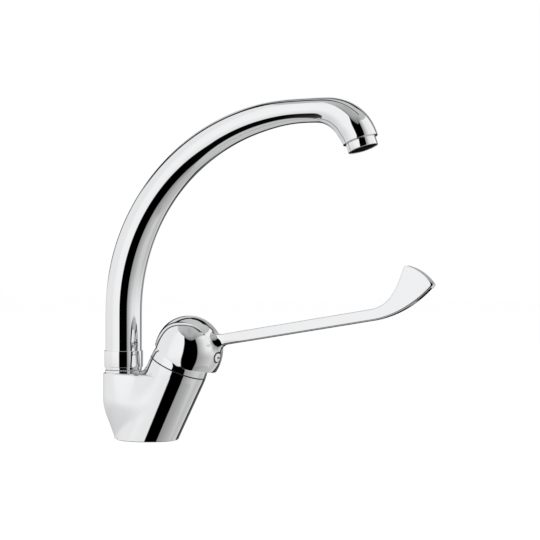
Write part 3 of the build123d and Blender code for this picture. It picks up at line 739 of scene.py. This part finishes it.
def put_ring():
    """The domed ring, hollow below, and under it a black ring that paints the shade in the joint's gap."""
    foot = RING_LOW - RING_CHAMFER
    outline = [(RING_INSIDE, foot), (RING_FOOT_RADIUS, foot), (RING_EDGE_RADIUS, RING_LOW)]
    for k in range(RING_OUTER_STEPS + 1):
        level = RING_LOW + RING_START + (RING_RISE - RING_LOW) * k / RING_OUTER_STEPS
        leaning = RING_RADIUS - RING_SLOPE * (level - RING_LOW)
        outline.append((soft_min(leaning, ball_radius(GUARD_BALL, level), GUARD_EASE), level))
    outline += [(RING_HOLE, RING_TOP), (RING_HOLE, RING_CEILING)]
    for k in range(RING_INNER_STEPS):
        level = RING_CEILING - (RING_CEILING - foot) * k / RING_INNER_STEPS
        outline.append((min(RING_INSIDE_MOST, ball_radius(GUARD_BALL - RING_WALL, level)), level))
    put_turned("ring_skin", outline, HEAD_SPINDLE, "chrome_plate", "tap_body", ["cover_ring"])
    # Black ring that paints the shade in the gap between the ring and the housing
    low, high = JOINT_LEVEL - JOINT_SHADE_DROP, JOINT_LEVEL + JOINT_SHADE_PROUD
    shade_ring = [(JOINT_SHADE_INSIDE, low), (JOINT_SHADE_RADIUS, low), (JOINT_SHADE_RADIUS, high), (JOINT_SHADE_INSIDE, high)]
    put_turned("joint_shade_ring", shade_ring, HEAD_SPINDLE, "black_rubber", "tap_body")


# Lever: the arm and the paddle lie in one upright plane. Their places are (along, up) in it

ARM_ANGLE = radians(33.4)
ARM_X = FORWARD * cos(ARM_ANGLE) + UP * sin(ARM_ANGLE)
ARM_Y = UP * cos(ARM_ANGLE) - FORWARD * sin(ARM_ANGLE)
ARM_RISE = 4.15  # of the arm's middle over the cap's
HALF_HIGH, HALF_WIDE, EDGE = 4.375, 3.3, 1.1
LOW, HIGH = ARM_RISE - HALF_HIGH, ARM_RISE + HALF_HIGH
ROOT, REACH = 37.0, 172.0  # the arm's start and end
ROOT_EDGE, ROOT_FADE = 3.9, (ROOT - 2.0, 56.0)  # its lower edges are rounder near the root
FLAT_STEPS, CORNER_STEPS, FLANK_STEPS = 4, 10, 20
HALF = 2 * FLAT_STEPS + 2 * CORNER_STEPS + FLANK_STEPS  # steps of half a ring
AROUND = 2 * HALF
HEEL, CROWN, TIP = Vector((189.3, 14.57)), Vector((205.0, 38.02)), Vector((226.7, 19.43))
CROWN_SLOPE = radians(62)
CROWN_WAY = (TIP - CROWN).normalized()  # along the paddle's end
CROWN_OUT = Vector((-CROWN_WAY.y, CROWN_WAY.x))  # out of it
BEFORE_CORNER = 0.94  # share of the upper outline
CORNER_BACK, CORNER_ALONG, CORNER_OUT = 2.6, 2.8, 0.9
LOW_ARC_RADIUS = ((TIP.x - REACH) ** 2 + (TIP.y - LOW) ** 2) / (2 * (TIP.y - LOW))
LOW_ARC_TURN = asin((TIP.x - REACH) / LOW_ARC_RADIUS)
PADDLE_EDGE, PADDLE_BULGE = 2.6, 2.2
END_INSET, TIP_INSET = 0.8, 2.6
END_SHARPEST = 0.02
ARM_STEPS, PADDLE_STEPS, END_STEPS = 18, 30, 8


def half_section(span, low_edge, wide, edge):
    """Half of a ring round the arm, from its top down to its bottom: (height, side) places."""
    flat = wide - edge
    turns = [pi / 2 * i / CORNER_STEPS for i in range(CORNER_STEPS)]
    flank = span - EDGE - low_edge
    half = [(span, flat * i / FLAT_STEPS) for i in range(FLAT_STEPS)]
    half += [(span - EDGE * (1 - cos(a)), flat + edge * sin(a)) for a in turns]
    half += [(span - EDGE - flank * i / FLANK_STEPS, wide) for i in range(FLANK_STEPS)]
    half += [(low_edge * (1 - sin(a)), flat + edge * cos(a)) for a in turns]
    half += [(0.0, flat * (FLAT_STEPS - i) / FLAT_STEPS) for i in range(FLAT_STEPS + 1)]
    return half


def section(low, high, low_edge, wide=HALF_WIDE, edge=EDGE, bulge=0.0):
    """Ring round the arm between two points of its plane: (along, up, side) places."""
    span = (high - low).length
    half = half_section(span, low_edge, wide, edge)
    ring = []
    for height, side in half + [(height, -side) for height, side in reversed(half[1:-1])]:
        share = height / span
        place = low + (high - low) * share + CROWN_OUT * bulge * 4 * share * (1 - share)
        ring.append((place.x, place.y, side))
    return ring


def in_space(ring):
    return [CAP + ARM_X * along + ARM_Y * up + SIDE * side for along, up, side in ring]


def top_line(share):
    """The paddle's upper outline, from the arm over the heel and round the crown's corner."""
    start = Vector((REACH, HIGH))
    heel_way = (CROWN - start).normalized()
    crown_way = Vector((cos(CROWN_SLOPE), sin(CROWN_SLOPE)))
    first, second = (HEEL - start).length, (CROWN - HEEL).length
    if share <= BEFORE_CORNER:
        place = share / BEFORE_CORNER * (first + second - CORNER_BACK)
        if place <= first:
            return bend(start, Vector((first, 0)), HEEL, heel_way * first, place / first)
        return bend(HEEL, heel_way * second, CROWN, crown_way * second, (place - first) / second)
    corner_start = CROWN - crown_way * CORNER_BACK
    corner_end = CROWN + CROWN_WAY * CORNER_ALONG + CROWN_OUT * CORNER_OUT
    t = (share - BEFORE_CORNER) / (1 - BEFORE_CORNER)
    return corner_start * (1 - t) ** 2 + CROWN * 2 * t * (1 - t) + corner_end * t**2


def low_line(share):
    """The paddle's lower outline, an arc from the arm to the tip."""
    turn = LOW_ARC_TURN * share
    return Vector((REACH + LOW_ARC_RADIUS * sin(turn), LOW + LOW_ARC_RADIUS * (1 - cos(turn))))


def arm_rings():
    rings = []
    for k in range(ARM_STEPS):
        along = ROOT + (REACH - ROOT) * k / ARM_STEPS
        low_edge = EDGE + ROOT_EDGE * (1 - smooth(along, *ROOT_FADE))
        rings.append(in_space(section(Vector((along, LOW)), Vector((along, HIGH)), low_edge)))
    return rings


def paddle_rings():
    """Rings along the paddle and round its thin end."""
    rings = []
    for k in range(PADDLE_STEPS):
        share = k / PADDLE_STEPS
        edge, bulge = EDGE + PADDLE_EDGE * share**3, PADDLE_BULGE * share**3
        rings.append(in_space(section(low_line(share), top_line(share), edge, bulge=bulge)))
    low, high = low_line(1.0), top_line(1.0)
    span = high - low
    for k in range(END_STEPS + 1):
        angle = pi / 2 * k / END_STEPS
        wide = HALF_WIDE - EDGE * (1 - cos(angle))
        edge = EDGE * (cos(angle) * (1 - END_SHARPEST) + END_SHARPEST)
        moved = []
        for along, up, side in section(low, high, EDGE + PADDLE_EDGE, wide, edge, PADDLE_BULGE):
            share = (Vector((along, up)) - low).dot(span) / span.length_squared
            inset = CROWN_OUT * (END_INSET + TIP_INSET * (1 - share) ** 3) * (1 - sin(angle))
            moved.append((along - inset.x, up - inset.y, side))
        rings.append(in_space(moved))
    return rings


# Lever: the cap, a ball that is a little uneven, and the flare from it to the arm

NEAR_BALL = 29.5  # a point closer to the cap's middle is on the ball
LEAVE = asin(ARM_RISE / CAP_RADIUS)
POLE = ARM_X * cos(LEAVE) + ARM_Y * sin(LEAVE)  # where the arm's middle leaves the ball
POLE_UP = ARM_Y * cos(LEAVE) - ARM_X * sin(LEAVE)
CAP_STEPS, FLARE_STEPS = 90, 14
FLARE_ANGLE, FLARE_CHANGE = 20.5, 3.5  # degrees from the pole to the flare's start, and how it varies
EVEN_RING, ROOT_LIKE_RING = radians(70), radians(22)  # distances from the pole
FLARE_START, FLARE_END = 7.5, 12.0  # stiffness of the flare at its ends
LEVEL_LIMIT, FLANK_POWER = 0.97, 2.7  # a higher power makes the flanks straighter
CAP_WIDTH, CAP_WIDTH_GAIN, CAP_WIDTH_CHANGE = 0.90, 0.06, (-20.0, 10.0)
FLANKS_END = (0.35, 0.9)  # shares of the radius above the cap's middle
SIDEWAYS = (0.3, 0.85)


def narrowed(point):
    """The cap is a little narrower across the lever than along it, with straighter flanks."""
    rel = point - CAP
    ahead, side, level = rel.dot(FORWARD), rel.dot(SIDE), rel.dot(UP)
    share = min(abs(level) / CAP_RADIUS, LEVEL_LIMIT)
    flank = (1 - share**FLANK_POWER) ** (1 / FLANK_POWER) / sqrt(1 - share**2) - 1
    keep = 1 - smooth(share, *FLANKS_END) if level > 0 else 1.0
    in_arm = smooth(rel.length, NEAR_BALL, ROOT)
    width = (CAP_WIDTH + CAP_WIDTH_GAIN * smooth(-level, *CAP_WIDTH_CHANGE)) * (1 + flank * keep)
    width += (1 - width) * in_arm
    if level < 0:
        sideways = smooth(abs(side) / max(hypot(ahead, side), LEAST), *SIDEWAYS)
        ahead *= 1 + flank * sideways * (1 - in_arm)
    return CAP + FORWARD * ahead + SIDE * side * width + UP * level


def ball_way(away, turn):
    """Direction this far away from the pole and turned about it."""
    sideways = POLE_UP * cos(turn) + SIDE * sin(turn)
    return POLE * cos(away) + sideways * sin(away)


def cap_rings():
    """Rings from the ball's far end to the flare, and along the flare to the arm's root."""
    root_ring = section(Vector((ROOT, LOW)), Vector((ROOT, HIGH)), EDGE + ROOT_EDGE)
    root_angles = [atan2(side, up - ARM_RISE) % (2 * pi) for along, up, side in root_ring]
    starts = [radians(FLARE_ANGLE - FLARE_CHANGE * cos(angle)) for angle in root_angles]
    rings = []
    for k in range(CAP_STEPS):
        ring = []
        for j, (angle, start) in enumerate(zip(root_angles, starts)):
            away = pi - (pi - start) * (k + 0.5) / (CAP_STEPS - 0.5)
            even = 2 * pi * j / AROUND
            turn = angle + (even - angle) * smooth(away, ROOT_LIKE_RING, EVEN_RING)
            ring.append(CAP + ball_way(away, turn) * CAP_RADIUS)
        rings.append(ring)
    for k in range(1, FLARE_STEPS):
        ring = []
        for angle, away, (along, up, side) in zip(root_angles, starts, root_ring):
            start = ball_way(away, angle) * CAP_RADIUS
            slope = ball_way(away - pi / 2, angle) * FLARE_START
            end = ARM_X * along + ARM_Y * up + SIDE * side
            ring.append(CAP + bend(start, slope, end, ARM_X * FLARE_END, k / FLARE_STEPS))
        rings.append(ring)
    return [[narrowed(point) for point in ring] for ring in rings]


def whole_lever():
    """The lever before the cap's underside and the plug's recess are cut."""
    rings = cap_rings() + arm_rings() + paddle_rings()
    points, faces = skin(rings, tips=(narrowed(CAP - POLE * CAP_RADIUS), None))
    base = (len(rings) - 1) * AROUND
    for i in range(HALF):
        strip = (i, i + 1, (AROUND - i - 1) % AROUND, (AROUND - i) % AROUND)
        faces.append(tuple(dict.fromkeys(base + j for j in strip)))
    return mesh_of("lever_skin", points, faces)


# Lever: the cap's rim, which dips at the sides and rises at the back, and its hollow

RIM_TILT = radians(3.9)
RIM_UP = UP * cos(RIM_TILT) - FORWARD * sin(RIM_TILT)
RIM_DROP = 9.1
RIM_MIDDLE = CAP - UP * RIM_DROP
RIM_LIFTS = [
    (0, 0.1), (20, 0.0), (34, -0.8), (49, -1.6), (64, -1.6), (79, -0.2), (97, 1.9), (115, 3.8),
    (146, 4.8), (180, 5.0)]  # degrees from the front, and how much higher the rim runs
LIFT_TOP, LIFT_FADE = 2.0, (-2.0, 2.5)
RIM_EDGE = [(0.12, 0.10), (0.30, 0.05)]  # the rim's rounded edge: steps inwards and downwards
SKIRT_BALL = 27.7  # ball about the pivot inside the cap's skirt
SKIRT_STEPS, SKIRT_TOP = 5, 24.0


def rim_lift(rel):
    """How much higher than its plane the rim runs on this side of the cap's middle."""
    angle = degrees(abs(atan2(rel.dot(SIDE), rel.dot(FORWARD))))
    for (start, low), (end, high) in zip(RIM_LIFTS, RIM_LIFTS[1:]):
        if angle <= end:
            return low + (high - low) * smooth(angle, start, end)
    return RIM_LIFTS[-1][1]


def skirt_inside(place, level):
    """The inside of the skirt at this level above the pivot, on the same side as a place."""
    rel = place - PIVOT
    flat = rel - UP * rel.dot(UP)
    return PIVOT + flat.normalized() * ball_radius(SKIRT_BALL, level) + UP * level


def cut_rim(bm):
    """Cut the cap off below its rim: the ball is lowered, cut by a plane and lifted again."""
    lift = bm.verts.layers.float.new("lift")
    for v in bm.verts:
        rel = v.co / MM - CAP
        if rel.length < NEAR_BALL and rel.dot(UP) < LIFT_TOP:
            v[lift] = rim_lift(rel) * smooth(-rel.dot(UP), *LIFT_FADE)
        v.co -= UP * v[lift] * MM
    everything = bm.verts[:] + bm.edges[:] + bm.faces[:]
    bmesh.ops.bisect_plane(bm, geom=everything, plane_co=RIM_MIDDLE * MM, plane_no=RIM_UP, clear_inner=True)
    for v in bm.verts:
        v.co += UP * v[lift] * MM


def extend_rim(bm, new_place):
    """One more row of faces from the open rim, each point moved by new_place(place)."""
    edges = [e for e in bm.edges if e.is_boundary]
    for item in bmesh.ops.extrude_edge_only(bm, edges=edges)["geom"]:
        if isinstance(item, bmesh.types.BMVert):
            item.co = new_place(item.co / MM) * MM


def hollow_cap(mesh):
    """Cut the rim, round its edge and close the cap with the inside of its skirt."""
    bm = bmesh.new()
    bm.from_mesh(mesh)
    cut_rim(bm)
    for inwards, down in RIM_EDGE:
        def rounder(place):
            outwards = place - CAP
            outwards = (outwards - RIM_UP * outwards.dot(RIM_UP)).normalized()
            return place - outwards * inwards - RIM_UP * down
        extend_rim(bm, rounder)
    for left in range(SKIRT_STEPS + 1, 0, -1):
        def deeper(place):
            level = (place - PIVOT).dot(UP)
            if left <= SKIRT_STEPS:
                level += (SKIRT_TOP - level) / left
            return skirt_inside(place, level)
        extend_rim(bm, deeper)
    bmesh.ops.holes_fill(bm, edges=[e for e in bm.edges if e.is_boundary], sides=0)
    bmesh.ops.recalc_face_normals(bm, faces=bm.faces)
    bm.to_mesh(mesh)
    bm.free()


# Plug low on the cap's front, a black ring round it that paints the shade in its recess, and its two marks.
# Heights run out of the ball

PLUG_TILT = radians(13.6)
PLUG_WAY = FORWARD * cos(PLUG_TILT) + UP * sin(PLUG_TILT)
PLUG_SEAT = CAP + PLUG_WAY * CAP_RADIUS
PLUG_SPINDLE = (PLUG_SEAT, PLUG_WAY, SIDE)
RECESS_HALF = 3.0
RECESS = [(4.7, -RECESS_HALF), (4.75, -0.45), (4.95, 0.15), (5.0, RECESS_HALF)]
PLUG_RADIUS, PLUG_FOOT, PLUG_EDGE, PLUG_ROUND, PLUG_DOME = 3.5, -2.9, 0.2, 0.5, 0.3
ROUND_ANGLES = range(15, 91, 15)
DOME_STEPS = 8
# Black ring round the plug: painted shade of the recess's wall and gap
PLUG_SHADE_RING = [(3.55, PLUG_FOOT, 0), (4.65, PLUG_FOOT, 0), (4.65, 0.05, 0.35), (3.55, 0.05, 0.35)]
MARK_HEIGHT, MARK_DOME = 0.85, 0.28
MARK_OUTLINE = [(1.0, 0.0), (0.97, 0.12), (0.8, 0.2), (0.4, 0.26)]  # shares of the radius, heights
RED_SHIFT, RED_RADIUS, BLUE_SHIFT, BLUE_RADIUS = -0.35, 1.15, 2.1, 0.85
TRUE_DISTANCE, TRUE_ANGLE, TRUE_REACH = 0.03, 0.85, 31.0


def with_recess(mesh):
    """A new mesh of the lever with the plug's recess cut into it."""
    recess = turned_solid("recess", RECESS, -RECESS_HALF, RECESS_HALF, PLUG_SPINDLE, PLUG_STEPS)
    cutter = add("recess", recess)
    uncut = add("lever_solid", mesh)
    cut = uncut.modifiers.new("recess", "BOOLEAN")
    cut.operation = "DIFFERENCE"
    cut.object = cutter
    cut.solver = "EXACT"
    cut.use_self = True
    finished = bpy.data.meshes.new_from_object(uncut.evaluated_get(bpy.context.evaluated_depsgraph_get()))
    finished.name = mesh.name
    bpy.data.objects.remove(uncut)
    bpy.data.objects.remove(cutter)
    return finished


def put_lever():
    """The lever, with the cap shaded by the form that it had before it was cut."""
    mesh = whole_lever()
    points = [v.co.copy() for v in mesh.vertices]
    faces = [tuple(face.vertices) for face in mesh.polygons]
    point_normals = [v.normal.copy() for v in mesh.vertices]
    whole = BVHTree.FromPolygons(points, faces)
    hollow_cap(mesh)
    finished = with_recess(mesh)
    put(finished, "chrome_plate", "lever_body", ["lever"], crease=LEVER_CREASE)

    def exact_normal(vertex, normal):
        spot, flat, index, away = whole.find_nearest(vertex.co)
        outside = away < TRUE_DISTANCE * MM and flat.dot(normal) > TRUE_ANGLE
        if not outside or (spot / MM - CAP).length >= TRUE_REACH:
            return None
        shares = poly_3d_calc([points[i] for i in faces[index]], spot)
        return sum((point_normals[i] * w for i, w in zip(faces[index], shares)), Vector()).normalized()

    set_normals(finished, exact_normal)


def put_plug():
    """A low domed button in the recess, with a black ring round it that paints the shade of the recess's
    gap.
    """
    flat = PLUG_RADIUS - PLUG_ROUND
    button = [(PLUG_RADIUS, PLUG_FOOT), (PLUG_RADIUS, PLUG_EDGE)]
    for a in map(radians, ROUND_ANGLES):
        button.append((flat + PLUG_ROUND * cos(a), PLUG_EDGE + PLUG_ROUND * sin(a)))
    for k in range(1, DOME_STEPS):
        share = 1 - k / DOME_STEPS
        button.append((flat * share, PLUG_EDGE + PLUG_ROUND + PLUG_DOME * (1 - share**2)))
    top = PLUG_EDGE + PLUG_ROUND + PLUG_DOME
    mesh = turned_solid("plug_skin", button, PLUG_FOOT, top, PLUG_SPINDLE, PLUG_STEPS)
    put(mesh, "plug_plastic", "lever_body", ["indicator_plug"])
    # Black ring that paints the shade in the gap round the plug
    shade_ring = rounded(PLUG_SHADE_RING)
    put_turned("plug_shade_ring", shade_ring, PLUG_SPINDLE, "black_rubber", "lever_body", steps=PLUG_STEPS)


def put_mark(name, shift, radius, look, node):
    """A small domed mark on the plug's face."""
    spindle = (PLUG_SEAT + PLUG_WAY * MARK_HEIGHT + SIDE * shift, PLUG_WAY, SIDE)
    outline = [(radius * share, height) for share, height in MARK_OUTLINE]
    put(turned_solid(name, outline, 0.0, MARK_DOME, spindle, MARK_STEPS), look, "lever_body", [node])


# Body: its outside is moved onto one smooth form, in which the housing and the boss run together

HOUSING_RADIUS = 24.7
FOOT_TAPER, TAPER_TOP, TAPER_FRONT = 2.0, 62.0, (-0.7, 0.3)
BOSS_FOOT_X, BOSS_FOOT_RADIUS, BOSS_RADIUS = -19.6, 10.0, 17.3
BOSS_CONE_TOP, BOSS_EASE = 27.5, 10.0
WEB_FOOT, WEB_GAIN, WEB_CHANGE = 5.0, 24.0, (2.0, 34.0)
SLOPE_STEP = 0.05
OUTSIDE_TOP, OUTSIDE_OFF, OUTSIDE_ANGLE = 65.6, 2.5, 0.8
BOSS_TOP_HEIGHT, BOSS_TOP_X = 54.0, -8.0
LONGEST_EDGES, MOVE_ROUNDS, LEAST_SLOPE = (6.0, 3.0, 2.0), 4, 0.05
FOLLOW_DEPTH, FOLLOW_REACH = -3.5, (1.5, 4.5)
HOUSING_TOP, JOINT_GAP, LIFT_ZONE = 65.9, 0.3, (59.0, 65.0)
SHADING_ANGLE = 0.93


def outer_form(p):
    """Distance from the housing and the boss run together, negative inside."""
    level = p.dot(UP)
    flat = p - UP * level
    ahead = flat.dot(FORWARD) / max(flat.length, LEAST)
    taper = FOOT_TAPER * max(1 - level / TAPER_TOP, 0.0) * smooth(ahead, *TAPER_FRONT)
    housing = flat.length - HOUSING_RADIUS + taper
    share = soft_min(p.z / BOSS_CONE_TOP, 1.0, BOSS_EASE / BOSS_CONE_TOP)
    middle_x = BOSS_FOOT_X + (BOSS_X - BOSS_FOOT_X) * share
    radius = BOSS_FOOT_RADIUS + (BOSS_RADIUS - BOSS_FOOT_RADIUS) * share
    boss = hypot(p.x - middle_x, p.y) - radius
    return soft_min(housing, boss, WEB_FOOT + WEB_GAIN * smooth(p.z, *WEB_CHANGE))


def form_slope(p):
    """The way in which the distance grows fastest."""
    steps = [way * SLOPE_STEP for way in (X_WAY, Y_WAY, Z_WAY)]
    return Vector([outer_form(p + d) - outer_form(p - d) for d in steps]) / (2 * SLOPE_STEP)


def is_outside(face):
    """Whether a face is near the outer form and faces the same way."""
    middle = face.calc_center_median() / MM
    if middle.dot(UP) > OUTSIDE_TOP or middle.z < 0.0 or abs(outer_form(middle)) > OUTSIDE_OFF:
        return False
    if middle.z > BOSS_TOP_HEIGHT and middle.dot(HEAD_X) < BOSS_TOP_X:
        return False
    return form_slope(middle).normalized().dot(face.normal) > OUTSIDE_ANGLE


def on_form(place):
    """The nearest place on the outer form at the same height."""
    for _ in range(MOVE_ROUNDS):
        way = form_slope(place)
        way.z = 0.0
        place = place - way * (outer_form(place) / max(way.length_squared, LEAST_SLOPE))
    return place


def split_outside(bm):
    """Split the long edges of the outside, so that it can follow the form."""
    for longest in LONGEST_EDGES:
        faces = [f for f in bm.faces if is_outside(f)]
        edges = {e for f in faces for e in f.edges if e.calc_length() > longest * MM}
        if edges:
            bmesh.ops.subdivide_edges(bm, edges=list(edges), cuts=1)
            bmesh.ops.triangulate(bm, faces=[f for f in bm.faces if len(f.verts) > 4])


def move_outside(bm):
    """Move the outside onto the form, and along with it what is near; gives the moved points."""
    bm.verts.index_update()
    marked = {v for f in bm.faces if is_outside(f) for v in f.verts}
    moves = {v.index: (v.co.copy(), on_form(v.co / MM) * MM - v.co) for v in marked}
    tree = KDTree(len(moves))
    for index, (place, move) in moves.items():
        tree.insert(place, index)
    tree.balance()
    for v in bm.verts:
        if v.index in moves:
            v.co += moves[v.index][1]
        elif outer_form(v.co / MM) > FOLLOW_DEPTH:
            place, index, distance = tree.find(v.co)
            v.co += moves[index][1] * (1 - smooth(distance / MM, *FOLLOW_REACH))
    return set(moves)


def lift_top(bm):
    """Stretch the housing's top up to the joint."""
    for v in bm.verts:
        share = smooth(v.co.dot(UP) / MM, *LIFT_ZONE)
        v.co += UP * (JOINT - JOINT_GAP - HOUSING_TOP) * share * MM


def put_body():
    source = frame["nodes"]["body"]
    points = [[part / MM for part in source.matrix_world @ v.co] for v in source.data.vertices]
    mesh = mesh_of("body_skin", points, [tuple(face.vertices) for face in source.data.polygons])
    bm = bmesh.new()
    bm.from_mesh(mesh)
    split_outside(bm)
    moved = move_outside(bm)
    lift_top(bm)
    bm.to_mesh(mesh)
    bm.free()
    put(mesh, "chrome_plate", "tap_body", ["body"], crease=BODY_CREASE)

    def exact_normal(vertex, normal):
        if vertex.index not in moved:
            return None
        exact = form_slope(vertex.co / MM).normalized()
        return exact if exact.dot(normal) > SHADING_ANGLE else None

    set_normals(mesh, exact_normal)


put_spout()
put_aerator()
put_column()
put_ring()
put_lever()
put_plug()
put_mark("red_mark_skin", RED_SHIFT, RED_RADIUS, "red_mark", "red_dot")
put_mark("blue_mark_skin", BLUE_SHIFT, BLUE_RADIUS, "blue_mark", "blue_dot")
put_body()
